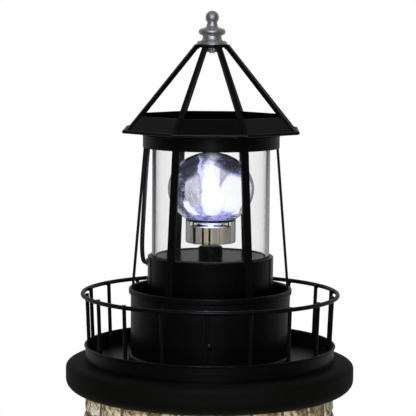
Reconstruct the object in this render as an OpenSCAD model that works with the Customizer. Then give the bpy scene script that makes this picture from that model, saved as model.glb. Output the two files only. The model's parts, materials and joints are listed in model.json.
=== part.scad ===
// Garden lighthouse ornament with a turning, solar-fed beacon.
// Millimetres, +Z up, front towards -Y, origin on the ground under the middle of the tower.

/* [Tower] */
// Height of the stone tower, from the ground to its flat top
tower_h = 578; // [420:1:760]
// Radius of the stone face at the top of the tower
tower_top_r = 110.6; // [106:0.1:113]
// Radius of the stone face at ground level
tower_base_r = 160; // [130:1:190]
// Thickness of the cast wall
tower_wall = 10; // [6:0.5:16]
// Number of stone courses
courses = 24; // [14:1:32]
// Width of a mortar joint
joint_w = 2.6; // [1.5:0.1:4]
// Depth of a mortar joint
joint_d = 1.8; // [0.8:0.1:3]
// How far the lowest course stands out as a plinth
plinth_out = 5; // [2:0.5:10]
// Radius of the hole in the tower's closed top
crown_hole_r = 32; // [20:1:40]

/* [Gallery] */
// Outer radius of the thick base disc
disc_r = 129.8; // [124:0.1:140]
// Thickness of the base disc
disc_t = 28.5; // [20:0.5:36]
// Depth of the seat under the disc that drops over the tower
seat_depth = 6; // [3:0.5:9]
// Outer radius of the gallery pan's wall
pan_r = 112.2; // [108:0.1:118]
// Thickness of the pan's sheet
pan_t = 1.1; // [0.8:0.1:1.8]
// Height of the pan's rolled rim above the disc
pan_rim_h = 13; // [10:0.5:18]
// Radius of the bead rolled on the pan's rim
pan_bead_r = 1.2; // [0.9:0.1:1.5]

/* [Railing] */
// Height of the rail's centreline above the disc
rail_h = 59.5; // [40:0.5:80]
// How far the rail's centreline stands out beyond the pan's wall
rail_flare = 2.5; // [0:0.1:6]
// Radius of the rail's rod
rail_rod_r = 1.9; // [1.5:0.1:2.5]
// Number of balusters
balusters_n = 18; // [10:1:24]
// Radius of a baluster
baluster_r = 1.7; // [1.2:0.1:2.2]
// How far a baluster stands above the rail's centreline
baluster_tip = 1.6; // [0.5:0.1:2.5]
// Turn of the baluster ring about the tower's axis, in degrees
baluster_turn = -1; // [-9:0.5:9]

/* [Lamp well] */
// Outer radius of the well's wall
well_r = 71.5; // [68:0.1:76]
// Thickness of the well's sheet
well_t = 1; // [0.8:0.1:1.5]
// Height of the well's rim above the pan's floor
well_h = 64.2; // [50:0.1:80]
// Height of the shelf above the pan's floor
shelf_h = 38; // [32:0.5:42]
// Radius of the hand hole in the shelf
shelf_hole_r = 45; // [43:0.5:47]
// Height of the three fixing screws above the pan's floor
well_screw_h = 22; // [12:0.5:28]

/* [Lamp housing] */
// Outer radius of the lamp housing
housing_r = 56.5; // [55:0.1:60]
// Height of the lamp housing, from the shelf to its deck
housing_h = 55; // [48:0.5:70]
// Thickness of the housing's wall and deck
housing_t = 1.8; // [1.2:0.1:2.5]
// Thickness of the housing's bottom plate
base_t = 2.6; // [2:0.1:4]
// Radius of the round boss on the deck
boss_r = 10.9; // [8:0.1:14]
// Height of the boss above the deck
boss_h = 8.9; // [6:0.1:11]
// Diameter of one rechargeable cell
cell_d = 14.2; // [13:0.1:15]
// Length of one rechargeable cell
cell_l = 50; // [48:0.1:51]

/* [Beacon] */
// Radius of the shaft that turns the beacon
shaft_r = 1.25; // [1:0.05:2]
// Running clearance between the shaft and its bores
shaft_fit = 0.05; // [0.02:0.01:0.1]
// Height of the beacon's underside above the deck
beacon_lift = 12.1; // [11.5:0.1:16]
// Outer radius of the clear sleeve
sleeve_r = 22.5; // [20:0.1:26]
// Wall of the clear sleeve
sleeve_t = 4; // [2:0.1:5]
// Height of the metal cup inside the sleeve
cup_h = 13.6; // [8:0.1:15]
// Height of the globe's middle above the deck
globe_mid_h = 60.4; // [52:0.1:64]
// Half width of the globe
globe_a = 38.7; // [34:0.1:42]
// Half height of the globe
globe_b = 32.9; // [28:0.1:35]
// Wall of the globe
globe_t = 1.8; // [1:0.1:3]

/* [Lantern] */
// Height of the glass, between its gaskets
glass_h = 108.7; // [104:0.1:125]
// Outer radius of the glass
glass_r = 52.8; // [50:0.1:54]
// Wall of the glass
glass_t = 3; // [2:0.1:4]
// Thickness of a gasket
gasket_t = 0.8; // [0.5:0.1:1.5]
// Width of a post
post_w = 7.2; // [5:0.1:10]
// Thickness of a post
post_t = 2.3; // [1.8:0.1:3]
// Height of the collar ring
collar_h = 14.8; // [10:0.1:20]
// Outer radius of the collar ring
collar_r = 61.2; // [60.5:0.1:64]
// Thickness of the collar's sheet
collar_t = 0.8; // [0.6:0.1:1.2]

/* [Roof] */
// Radius over the brim's corners
brim_r = 84.5; // [82:0.1:92]
// Radius of the hem round the brim
hem_r = 1.6; // [1.2:0.1:2.2]
// Thickness of the roof's sheet
roof_t = 1.2; // [0.8:0.1:1.8]
// Height of the octagonal skirt
skirt_h = 12.8; // [9:0.1:18]
// Height of the finial plate's top above the brim plate
roof_h = 75.7; // [60:0.1:95]
// Thickness of the finial plate
apex_t = 2.7; // [2:0.1:4]
// Radius of the finial plate
apex_r = 13; // [11:0.1:16]
// Side of a square rafter
rafter_w = 3.8; // [3:0.1:5]
// Thickness of the solar panel's tray
tray_t = 4; // [3:0.1:6]
// Side of the square solar cell
cell_w = 88; // [70:1:90]

/* [Hidden] */
eps = 0.01;
weld_gap = 0.02;          // seam between two curved pieces that are welded
fit = 0.25;               // clearance of a piece that drops into another
screw_r = 1.6;            // shank radius of every screw
screw_head_r = 3.1;
screw_head_h = 1.7;
$fn = 96;

disc_bottom = tower_h - seat_depth;
disc_top = disc_bottom + disc_t;
pan_floor = disc_top + pan_t;
rail_z = disc_top + rail_h;
rail_r = pan_r + rail_flare;
core_hole_r = crown_hole_r;
pan_screw_ring = 50;
pan_screw_l = 12;

shelf_z = pan_floor + shelf_h;
well_in_r = well_r - well_t;
well_top = pan_floor + well_h;
bracket_w = 16;
bracket_t = 1.6;
bracket_h = 30;
bracket_foot = 14;

housing_in_r = housing_r - housing_t;
deck_z = shelf_z + housing_h;
deck_under = deck_z - housing_t;
base_top = shelf_z + base_t;
spigot_r = 6;
lug_r = 3.4;
lug_ring_r = housing_in_r - lug_r + 0.5;
lug_angles = [60, 120, 240, 300];
lug_h = 10;

box_wall = 1.6;
box_x = cell_l + 2;
box_y = 2 * cell_d + 2.6;
box_h = cell_d + 2.2;
box_mid_y = -14;
door_t = 1.4;
door_ledge = 2.2;
door_pad_h = base_t - door_t + 0.1;
cell_z = base_top + 0.2 + cell_d / 2;
cell_pitch = cell_d + 1;

gearbox_h = 13;
gearbox_w = 22;
gearbox_l = 36;
motor_r = 9.5;
motor_h = 24;
motor_y = 14;
gearbox_under = deck_under - gearbox_h;
ear_x = 15;
ear_t = 2.5;
ear_r = 3.6;
ear_drop = 8.6;
slip_r = 4;
slip_h = 6;
slip_z = gearbox_under - 1 - slip_h;

board_x = -27;
board_y = 20;
board_w = 24;
board_l = 28;
board_t = 1.6;
standoff_h = 8;

switch_z = deck_z - 14.6;
switch_pad_w = 22;
switch_pad_h = 11;
switch_pad_out = 1.2;
switch_travel = 4;
knob_w = 4;
knob_h = 3.4;
slot_w = knob_w + switch_travel + 0.8;
slot_h = knob_h + 0.6;
switch_pad_y = housing_r + switch_pad_out;
switch_face_y = housing_in_r - 2.6;
switch_w = 15;
switch_h = 8;
switch_d = 5.5;
cavity_d = 2.6;

bore_r = shaft_r + shaft_fit;
shaft_bottom = slip_z - 1.5;
sleeve_z = deck_z + beacon_lift;
sleeve_floor = 1.2;
sleeve_in_r = sleeve_r - sleeve_t;
cup_z = sleeve_z + sleeve_floor;
cup_t = 0.8;
cup_r = sleeve_in_r - 0.1;
hub_r = 3.6;
led_board_t = 1.2;
led_board_z = cup_z + cup_h - 3.4;
globe_z = deck_z + globe_mid_h;
globe_hole_r = 9;
stem_r = 2.6;
flame_r = 6.5;
flame_z = globe_z - 9;
flame_h = 30;

glass_z = deck_z + gasket_t;
glass_top = glass_z + glass_h;
ceiling_t = 2;
ceiling_z = glass_top + gasket_t;
plate_z = ceiling_z + ceiling_t;       // underside of the brim plate
collar_in_r = collar_r - collar_t;
ceiling_r = collar_in_r - fit;
post_angles = [-150, -90, -30, 30, 90, 150];
post_top_r = collar_in_r - post_t / 2;
post_low_r = well_in_r - weld_gap - post_t / 2;
post_knee_z = well_top + 4;
post_foot_z = shelf_z + 6;
collar_bottom = plate_z - collar_h;

octagon = 360 / 8;
half_step = octagon / 2;
brim_top = plate_z + roof_t;           // top of the brim plate
hem_mid_z = plate_z + roof_t / 2;
apex_top = brim_top + roof_h;
hip_foot_r = brim_r - hem_r / cos(half_step) - hem_r - 0.1;
hip_top_r = apex_r + 2.8;              // where a rafter's outer edge meets the plate's top
hip_slope = roof_h / (hip_foot_r - hip_top_r);
hip_angle = atan(hip_slope);
skirt_set_in = 0.5;
// The tray's corners stay clear of the rafters, which lean in over them
tray_r = hip_foot_r - rafter_w / sin(hip_angle) - tray_t / hip_slope - 2 * fit;
panel_cover_t = 1;
cell_t = 0.6;

finial_stud_r = 2.5;
nut_r = 5;
nut_h = 4;

cable_r = 2;
cable_sides = 8;
cable_y = 6.4;
grommet_r = 2.9;
flange_r = 3.4;
flange_t = 1;
lead_hole_r = 2.2;        // way for the panel's lead, over the upper grommet
cable_top = [-56.4, cable_y, ceiling_z - flange_t];
cable_end = [-housing_r - flange_t - 0.6, cable_y, deck_z - 7.2];
// Route of the cable beside the left post, down from the ceiling and into the housing
cable_points = concat(
    [cable_top],
    [for (p = [[-56.4, 104], [-56.8, 96], [-57.8, 84], [-59, 66], [-60.2, 45], [-61.4, 22], [-61.8, 10]])
        [p[0], cable_y, deck_z + p[1]]],
    [for (p = [[-61.7, 3], [-61.3, -2], [-60.6, -5.4]]) [p[0], cable_y, deck_z + p[1]]],
    [cable_end - [1.2, 0, 0], cable_end]);

// ---------- shared shapes ----------

// Points along an arc, from angle a0 to a1 about [cx, cy]; ry may differ from rx.
function arc(cx, cy, rx, ry, a0, a1, n) =
    [for (i = [0 : n]) let (a = a0 + (a1 - a0) * i / n) [cx + rx * cos(a), cy + ry * sin(a)]];

// Radius of the plain stone face at height z.
function stone_r(z) = tower_base_r + (tower_top_r - tower_base_r) * z / tower_h;

// Half height of the globe's surface at radius r, for half axes a and b.
function globe_drop(a, b, r) = b * sqrt(1 - pow(r / a, 2));

module at(angle) {
    rotate([0, 0, angle]) children();
}

module ring(outer, inner, h) {
    difference() {
        cylinder(r = outer, h = h);
        translate([0, 0, -eps]) cylinder(r = inner, h = h + 2 * eps);
    }
}

// Screw pointing down, with the underside of its head at z = 0.
module screw(length) {
    cylinder(r = screw_head_r, h = screw_head_h);
    translate([0, 0, -length]) cylinder(r = screw_r, h = length + eps);
}

module box(size, centre) {
    translate([centre[0], centre[1], centre[2] + size[2] / 2]) cube(size, center = true);
}

module octagon_prism(r, h) {
    rotate([0, 0, half_step]) cylinder(r = r, h = h, $fn = 8);
}

// ---------- tower ----------

module tower_shell() {
    course_h = tower_h / courses;
    face = [for (i = [0 : courses - 1])
        let (z0 = i * course_h, z1 = z0 + course_h, out = i == 0 ? plinth_out : 0)
        each concat(
            [[stone_r(z0) + out, i == 0 ? z0 : z0 + joint_w / 2]],
            i == courses - 1 ? [[stone_r(z1), z1]]
                : [[stone_r(z1) + out, z1 - joint_w / 2], [stone_r(z1) - joint_d, z1]])];
    crown_t = tower_wall;
    inside = [[crown_hole_r, tower_h], [crown_hole_r, tower_h - crown_t],
        [stone_r(tower_h - crown_t) - tower_wall, tower_h - crown_t],
        [stone_r(0) - tower_wall, 0]];
    color("tan") rotate_extrude() polygon(concat(face, inside));
}

// ---------- gallery ----------

module gallery_base() {
    seat_r = stone_r(disc_bottom) + fit;
    top_w = 10.6;
    top_h = 6.5;
    low_w = disc_r - seat_r - 1.5;
    low_h = 12;
    profile = concat(
        [[core_hole_r, disc_bottom + seat_depth], [seat_r, disc_bottom + seat_depth], [seat_r, disc_bottom]],
        arc(disc_r - low_w, disc_bottom + low_h, low_w, low_h, -90, 0, 8),
        arc(disc_r - top_w, disc_top - top_h, top_w, top_h, 0, 90, 8),
        [[core_hole_r, disc_top]]);
    color("black") difference() {
        rotate_extrude() polygon(profile);
        for (i = [0 : 3]) at(45 + 90 * i) translate([pan_screw_ring, 0, disc_top - pan_screw_l])
            cylinder(r = screw_r, h = pan_screw_l + eps, $fn = 32);
    }
}

module gallery_pan() {
    color("black") difference() {
        rotate_extrude() union() {
            translate([core_hole_r, disc_top]) square([pan_r - core_hole_r, pan_t]);
            translate([pan_r - pan_t, disc_top]) square([pan_t, pan_rim_h]);
            translate([pan_r - 0.1, disc_top + pan_rim_h]) circle(r = pan_bead_r, $fn = 32);
        }
        for (i = [0 : 3]) at(45 + 90 * i) translate([pan_screw_ring, 0, disc_top - 1])
            cylinder(r = screw_r + 0.1, h = pan_t + 2, $fn = 32);
    }
}

module pan_screws() {
    color("silver") for (i = [0 : 3]) at(45 + 90 * i)
        translate([pan_screw_ring, 0, pan_floor]) screw(pan_screw_l);
}

module rail_ring() {
    color("black") translate([0, 0, rail_z]) rotate_extrude()
        translate([rail_r, 0]) circle(r = rail_rod_r, $fn = 32);
}

module balusters() {
    bead_in_r = pan_r - 0.1 - pan_bead_r;
    low_z = disc_top + pan_rim_h;
    low_r = bead_in_r - baluster_r - weld_gap;
    high_r = rail_r - rail_rod_r - baluster_r - weld_gap;
    lean = atan((high_r - low_r) / (rail_z - low_z));
    foot_z = pan_floor + baluster_r * sin(lean);
    foot_r = low_r - (low_z - foot_z) * tan(lean);
    color("black") for (i = [0 : balusters_n - 1]) at(baluster_turn + 360 / balusters_n * i)
        translate([0, -foot_r, foot_z]) rotate([lean, 0, 0])
            cylinder(r = baluster_r, h = (rail_z + baluster_tip - foot_z) / cos(lean), $fn = 24);
}

// ---------- lamp well ----------

module lamp_well() {
    hem_w = 1.4;
    foot_bead = 2.2;
    color("black") difference() {
        rotate_extrude() union() {
            translate([well_in_r, pan_floor]) square([well_t, well_h - hem_w]);
            for (z = [well_top - 3 * hem_w, well_top - hem_w])
                translate([well_in_r + hem_w, z]) circle(r = hem_w, $fn = 32);
            translate([well_in_r, well_top - 3 * hem_w]) square([2 * hem_w, 2 * hem_w]);
            translate([shelf_hole_r, shelf_z - roof_t]) square([well_in_r + eps - shelf_hole_r, roof_t]);
            difference() {
                translate([well_r - 0.2, pan_floor + foot_bead]) circle(r = foot_bead, $fn = 32);
                translate([well_in_r - 2 * foot_bead, pan_floor]) square([2 * foot_bead + 0.5, 2 * foot_bead]);
            }
        }
        for (a = [0, 120, 240]) at(a) translate([0, -well_in_r + 4, pan_floor + well_screw_h])
            rotate([90, 0, 0]) cylinder(r = screw_r + 0.15, h = 9, $fn = 32);
        for (a = lug_angles) at(a) translate([0, -lug_ring_r, shelf_z - 2])
            cylinder(r = screw_r + 0.15, h = 3, $fn = 32);
    }
}

module well_brackets() {
    color("dimgray") for (a = [0, 120, 240]) at(a) difference() {
        intersection() {
            cylinder(r = well_in_r - weld_gap, h = pan_floor + bracket_h);
            union() {
                box([bracket_w, bracket_t + 1, bracket_h], [0, -well_in_r + bracket_t, pan_floor]);
                box([bracket_w, bracket_foot, bracket_t], [0, -well_in_r + bracket_foot / 2 + 0.3, pan_floor]);
            }
        }
        translate([0, -well_in_r + 5, pan_floor + well_screw_h]) rotate([90, 0, 0])
            cylinder(r = screw_r, h = 9, $fn = 32);
    }
}

module well_screws() {
    color("dimgray") for (a = [0, 120, 240]) at(a)
        translate([0, -well_r - weld_gap, pan_floor + well_screw_h]) rotate([90, 0, 0]) screw(6);
}

// ---------- lamp housing ----------

module housing_lug_places() {
    for (a = lug_angles) at(a) translate([0, -lug_ring_r, 0]) children();
}

module lamp_housing() {
    edge = 0.9;
    color("black") difference() {
        union() {
            rotate_extrude() polygon(concat(
                [[housing_in_r, shelf_z], [housing_r, shelf_z]],
                arc(housing_r - edge, deck_z - edge, edge, edge, 0, 90, 4),
                [[0, deck_z], [0, deck_under], [housing_in_r, deck_under]]));
            intersection() {
                housing_lug_places() translate([0, 0, base_top]) cylinder(r = lug_r, h = lug_h, $fn = 32);
                cylinder(r = housing_in_r + 0.5, h = deck_z);
            }
            for (x = [-ear_x, ear_x]) translate([x, 0, deck_under - ear_drop])
                cylinder(r = ear_r, h = ear_drop + 0.5, $fn = 32);
            box([switch_pad_w, switch_pad_y - switch_face_y, switch_pad_h],
                [0, (switch_pad_y + switch_face_y) / 2, switch_z - switch_pad_h / 2]);
        }
        translate([0, 0, deck_under - 1]) cylinder(r = spigot_r + weld_gap, h = housing_t + 2);
        housing_lug_places() translate([0, 0, base_top - eps]) cylinder(r = screw_r, h = lug_h - 2, $fn = 32);
        for (x = [-ear_x, ear_x]) translate([x, 0, deck_under - ear_drop - eps])
            cylinder(r = screw_r, h = ear_drop - 1, $fn = 32);
        box([slot_w, 2 * (switch_pad_y - switch_face_y), slot_h],
            [0, (switch_pad_y + switch_face_y) / 2, switch_z - slot_h / 2]);
        translate([-housing_r, cable_y, cable_end[2]]) rotate([0, 90, 0])
            cylinder(r = grommet_r + weld_gap, h = 16, center = true, $fn = 32);
    }
}

module housing_base() {
    color("dimgray") difference() {
        union() {
            translate([0, 0, shelf_z]) cylinder(r = housing_in_r - fit, h = base_t);
            difference() {
                box([box_x + 2 * box_wall, box_y + 2 * box_wall, box_h], [0, box_mid_y, base_top - eps]);
                box([box_x, box_y, box_h + 1], [0, box_mid_y, base_top - 0.5]);
            }
            for (y = [-8, 8]) translate([board_x, board_y + y, base_top - eps])
                cylinder(r = 2.6, h = standoff_h + eps, $fn = 24);
        }
        box([box_x - 2 * door_ledge, box_y - 2 * door_ledge, base_t + 2], [0, box_mid_y, shelf_z - 1]);
        box([box_x + 2, box_y + 2, door_t + 1], [0, box_mid_y, shelf_z - 1]);
        housing_lug_places() translate([0, 0, shelf_z - 1]) cylinder(r = screw_r + 0.15, h = base_t + 2, $fn = 32);
    }
}

module housing_screws() {
    color("silver") housing_lug_places() translate([0, 0, shelf_z - roof_t]) mirror([0, 0, 1])
        screw(roof_t + base_t + lug_h - 3);
}

module battery_door() {
    pad_x = box_x - 2 * door_ledge - 2 * fit;
    pad_y = box_y - 2 * door_ledge - 2 * fit;
    color("dimgray") difference() {
        union() {
            box([box_x + 2 - 2 * fit, box_y + 2 - 2 * fit, door_t - 0.05], [0, box_mid_y, shelf_z]);
            box([pad_x, pad_y, door_t + door_pad_h], [0, box_mid_y, shelf_z]);
        }
        for (x = [-3, 0, 3]) box([1.4, 12, 0.5], [x - box_x / 2 + 9, box_mid_y, shelf_z - eps]);
    }
}

// One rechargeable cell lying along X, its button towards +X.
module cell() {
    button_l = 1.3;
    rotate([0, 90, 0]) {
        translate([0, 0, -cell_l / 2]) cylinder(r = cell_d / 2, h = cell_l - button_l, $fn = 48);
        translate([0, 0, cell_l / 2 - button_l - eps]) cylinder(r = 2.8, h = button_l + eps, $fn = 24);
    }
}

module battery_1() {
    color("green") translate([0, box_mid_y - cell_pitch / 2, cell_z]) cell();
}

module battery_2() {
    color("green") translate([0, box_mid_y + cell_pitch / 2, cell_z]) mirror([1, 0, 0]) cell();
}

module battery_contacts() {
    plate = 0.4;
    gap = (box_x - cell_l) / 2;
    color("silver") for (x = [-1, 1], y = [-1, 1]) translate([x * (box_x / 2 - plate / 2), 0, 0]) {
        box([plate, 9, 9], [0, box_mid_y + y * cell_pitch / 2, cell_z - 4.5]);
        translate([-x * gap / 2 + x * plate / 2, box_mid_y + y * cell_pitch / 2, cell_z]) rotate([0, 90, 0])
            cylinder(r = 2.4, h = gap - 0.02, center = true, $fn = 24);
    }
}

module circuit_board() {
    z = base_top + standoff_h;
    color("green") {
        box([board_w, board_l, board_t], [board_x, board_y, z]);
        box([8, 6, 2], [board_x + 2, board_y + 4, z + board_t - eps]);
        box([6, 4, 1.6], [board_x - 5, board_y - 5, z + board_t - eps]);
        box([5, 8, 5.5], [board_x + 8, board_y - 8, z + board_t - eps]);
        translate([board_x - 6, board_y + 8, z + board_t - eps]) cylinder(r = 3.2, h = 9, $fn = 24);
    }
}

// ---------- switch ----------

module switch_body() {
    color("black") difference() {
        box([switch_w, switch_d, switch_h], [0, switch_face_y - weld_gap - switch_d / 2, switch_z - switch_h / 2]);
        box([slot_w + 1.6, 2 * cavity_d, slot_h + 1.4],
            [0, switch_face_y - weld_gap, switch_z - slot_h / 2 - 0.7]);
    }
}

// Stored in the on place, at the -X end of its slot.
module switch_slider() {
    rest_x = -switch_travel / 2;
    shoe_w = knob_w + 1.2;
    shoe_t = cavity_d - 0.6;
    knob_out = 2.4;
    color("dimgray") {
        box([shoe_w, shoe_t, slot_h + 0.8], [rest_x, switch_face_y - 0.3 - shoe_t / 2, switch_z - slot_h / 2 - 0.4]);
        box([knob_w, switch_pad_y + knob_out - switch_face_y + 1, knob_h],
            [rest_x, (switch_pad_y + knob_out + switch_face_y - 1) / 2, switch_z - knob_h / 2]);
    }
}

// ---------- drive ----------

module gear_motor() {
    color("gray") difference() {
        union() {
            box([gearbox_w, gearbox_l, gearbox_h - weld_gap], [0, gearbox_l / 2 - gearbox_w / 2, gearbox_under]);
            translate([0, motor_y, gearbox_under - motor_h]) cylinder(r = motor_r, h = motor_h + eps, $fn = 48);
            translate([0, motor_y, gearbox_under - motor_h - 1.5]) cylinder(r = 3, h = 2, $fn = 32);
            for (x = [-ear_x, ear_x]) translate([x, 0, deck_under - ear_drop - weld_gap - ear_t])
                cylinder(r = ear_r, h = ear_t, $fn = 32);
            box([2 * ear_x, 2 * ear_r, ear_t], [0, 0, deck_under - ear_drop - weld_gap - ear_t]);
        }
        translate([0, 0, gearbox_under - 1]) cylinder(r = bore_r, h = gearbox_h + 2, $fn = 48);
        for (x = [-ear_x, ear_x]) translate([x, 0, gearbox_under - 1])
            cylinder(r = screw_r + 0.15, h = gearbox_h, $fn = 32);
    }
}

module motor_screws() {
    color("silver") for (x = [-ear_x, ear_x])
        translate([x, 0, deck_under - ear_drop - weld_gap - ear_t]) mirror([0, 0, 1]) screw(ear_t + ear_drop - 3);
}

// Carries the two sprung wipers that feed the slip ring.
module brush_block() {
    color("ivory") {
        box([9, 5, gearbox_under - slip_z - weld_gap], [0, -slip_r - 3.6, slip_z]);
        for (z = [1.2, 3.8]) box([2, 1.2, 1], [0, -slip_r - 0.85, slip_z + z]);
    }
}

module shaft_boss() {
    edge = 2;
    color("black") difference() {
        union() {
            rotate_extrude() polygon(concat(
                [[0, deck_z + weld_gap], [boss_r, deck_z + weld_gap]],
                arc(boss_r - edge, deck_z + boss_h - edge, edge, edge, 0, 90, 6),
                [[0, deck_z + boss_h]]));
            translate([0, 0, deck_under + weld_gap]) cylinder(r = spigot_r, h = housing_t + 1);
        }
        translate([0, 0, deck_under - 1]) cylinder(r = bore_r, h = housing_t + boss_h + 2, $fn = 48);
    }
}

// ---------- beacon ----------

module beacon_shaft() {
    color("silver") translate([0, 0, shaft_bottom])
        cylinder(r = shaft_r, h = led_board_z - 0.5 - shaft_bottom, $fn = 48);
}

module slip_ring() {
    color("gold") difference() {
        translate([0, 0, slip_z]) rotate_extrude() difference() {
            square([slip_r, slip_h]);
            for (z = [0, slip_h / 2 - 0.3, slip_h - 0.6]) translate([slip_r - 0.5, z]) square([1, 0.6]);
        }
        translate([0, 0, slip_z - 1]) cylinder(r = shaft_r, h = slip_h + 2, $fn = 48);
    }
}

// Height of the globe's outer surface below its middle, at radius r.
function globe_seat(r) = globe_z - globe_drop(globe_a, globe_b, r);

module lamp_sleeve() {
    edge = 1.6;
    color("lightgray", 0.4) rotate_extrude() polygon(concat(
        [[shaft_r, sleeve_z]],
        arc(sleeve_r - edge, sleeve_z + edge, edge, edge, -90, 0, 5),
        [for (i = [0 : 6]) let (r = sleeve_r - (sleeve_r - sleeve_in_r) * i / 6) [r, globe_seat(r) - weld_gap]],
        [[sleeve_in_r, cup_z], [shaft_r, cup_z]]));
}

module beacon_cup() {
    color("silver") difference() {
        translate([0, 0, cup_z]) cylinder(r = cup_r, h = cup_h);
        difference() {
            translate([0, 0, cup_z + cup_t]) cylinder(r = cup_r - cup_t, h = cup_h);
            translate([0, 0, cup_z]) cylinder(r = hub_r, h = led_board_z - cup_z);
        }
        translate([0, 0, cup_z - 1]) cylinder(r = shaft_r, h = cup_h + 2, $fn = 48);
    }
}

module led_board() {
    color("white") translate([0, 0, led_board_z]) cylinder(r = cup_r - cup_t - 0.1, h = led_board_t);
}

// Clear stem with a flame-shaped bulb.
module led_lamp() {
    z0 = led_board_z + led_board_t;
    flame = [for (i = [0 : 16]) let (t = i / 16)
        [max(0, flame_r * sin(180 * pow(t, 0.62)) * (1 - 0.25 * t) + stem_r * pow(1 - t, 3)),
         flame_z + flame_h * t]];
    color("white") rotate_extrude() polygon(concat([[0, z0], [stem_r, z0], [stem_r, flame_z]],
        [for (i = [1 : 15]) flame[i]], [[0, flame_z + flame_h]]));
}

// Shallow mirror in the bottom of the globe.
module reflector_dish() {
    a = globe_a - globe_t - 0.2;
    b = globe_b - globe_t - 0.2;
    rim_r = 27;
    low = [for (i = [0 : 8]) let (r = globe_hole_r + (rim_r - globe_hole_r) * i / 8)
        [r, globe_z - globe_drop(a, b, r)]];
    high = [for (i = [8 : -1 : 0]) let (r = globe_hole_r + (rim_r - globe_hole_r) * i / 8)
        [r, globe_z - globe_drop(a, b, r) + 1]];
    color("silver") rotate_extrude() polygon(concat(low, high));
}

module globe() {
    start = acos(globe_hole_r / globe_a);
    inner_start = acos(globe_hole_r / (globe_a - globe_t));
    color("lightblue", 0.3) rotate_extrude() polygon(concat(
        arc(0, globe_z, globe_a, globe_b, -start, 90, 32),
        arc(0, globe_z, globe_a - globe_t, globe_b - globe_t, 90, -inner_start, 32)));
}

// ---------- lantern ----------

module glass_gaskets() {
    color("dimgray") for (z = [deck_z, glass_top])
        translate([0, 0, z]) ring(glass_r + 0.3, glass_r - glass_t - 0.3, gasket_t);
}

module glass_cylinder() {
    color("lightblue", 0.3) translate([0, 0, glass_z]) ring(glass_r, glass_r - glass_t, glass_h);
}

// A flat strap: upright inside the well, then leaning in to the collar.
module post(angle) {
    side = [[post_low_r, post_foot_z], [post_low_r, post_knee_z],
        [post_top_r, collar_bottom], [post_top_r, ceiling_z - weld_gap]];
    last = len(side) - 1;
    outline = concat(
        [for (p = side) [p[0] + post_t / 2, p[1]]],
        [for (i = [last : -1 : 0]) [side[i][0] - post_t / 2, side[i][1]]]);
    color("black") at(angle) intersection() {
        rotate([90, 0, -90]) translate([0, 0, -post_w / 2]) linear_extrude(post_w) polygon(outline);
        rotate_extrude() union() {
            square([well_in_r - weld_gap, collar_bottom]);
            square([collar_in_r - weld_gap, plate_z]);
        }
    }
}

module roof_collar() {
    bead = 0.9;
    color("black") rotate_extrude() union() {
        translate([collar_in_r, collar_bottom]) square([collar_t, collar_h]);
        translate([collar_r - 0.2, plate_z - 3.6]) circle(r = bead, $fn = 24);
    }
}

module ceiling_plate() {
    color("black") difference() {
        translate([0, 0, ceiling_z]) cylinder(r = ceiling_r, h = ceiling_t);
        translate([cable_top[0], cable_y, ceiling_z - 1])
            cylinder(r = grommet_r + weld_gap, h = ceiling_t + 2, $fn = 32);
    }
}

// ---------- roof ----------

// One straight length of the hem, mitred to its neighbours.
module hem_side() {
    mid = (brim_r - hem_r / cos(half_step)) * cos(half_step);
    reach = brim_r + 5;
    intersection() {
        translate([0, -mid, hem_mid_z]) rotate([0, 90, 0])
            cylinder(r = hem_r, h = brim_r, center = true, $fn = 32);
        translate([0, 0, hem_mid_z - 5]) linear_extrude(10)
            polygon([[0, 0], [-reach * tan(half_step), -reach], [reach * tan(half_step), -reach]]);
    }
}

module roof_brim() {
    plate_r = brim_r - hem_r / cos(half_step);
    color("black") {
        difference() {
            translate([0, 0, plate_z]) octagon_prism(plate_r, roof_t);
            translate([cable_top[0], cable_y, plate_z - 1])
                cylinder(r = lead_hole_r, h = roof_t + 2, $fn = 32);
        }
        for (i = [0 : 7]) at(octagon * i) hem_side();
    }
}

// A square bar along a hip, outer edge on the hip line, cut off at the brim plate and at the apex plate.
module rafter(angle) {
    drop = rafter_w / cos(hip_angle);
    outer_low = [hip_foot_r, brim_top];
    top_cut_r = apex_r + weld_gap;
    cut_outer_r = hip_top_r;
    inner_foot_r = hip_foot_r - drop / hip_slope;
    outline = [outer_low, [cut_outer_r, apex_top], [top_cut_r, apex_top],
        [top_cut_r, apex_top - drop + hip_slope * (cut_outer_r - top_cut_r)], [inner_foot_r, brim_top]];
    color("black") at(angle) rotate([90, 0, -90]) translate([0, 0, -rafter_w / 2])
        linear_extrude(rafter_w) polygon(outline);
}

module roof_skirt() {
    foot_r = hip_foot_r - skirt_set_in;
    rim_r = foot_r - skirt_h / hip_slope;
    side = roof_t / sin(hip_angle);
    color("black") difference() {
        translate([0, 0, brim_top]) rotate([0, 0, half_step]) difference() {
            cylinder(r1 = foot_r, r2 = rim_r, h = skirt_h, $fn = 8);
            translate([0, 0, -skirt_h / 10]) cylinder(r1 = foot_r - side + skirt_h / 10 / hip_slope,
                r2 = rim_r - side - skirt_h / 10 / hip_slope, h = skirt_h * 1.2, $fn = 8);
        }
        for (i = [0 : 7]) rafter(half_step + octagon * i);
    }
}

module apex_plate() {
    color("black") translate([0, 0, apex_top - apex_t]) ring(apex_r, finial_stud_r + 0.1, apex_t);
}

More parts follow.
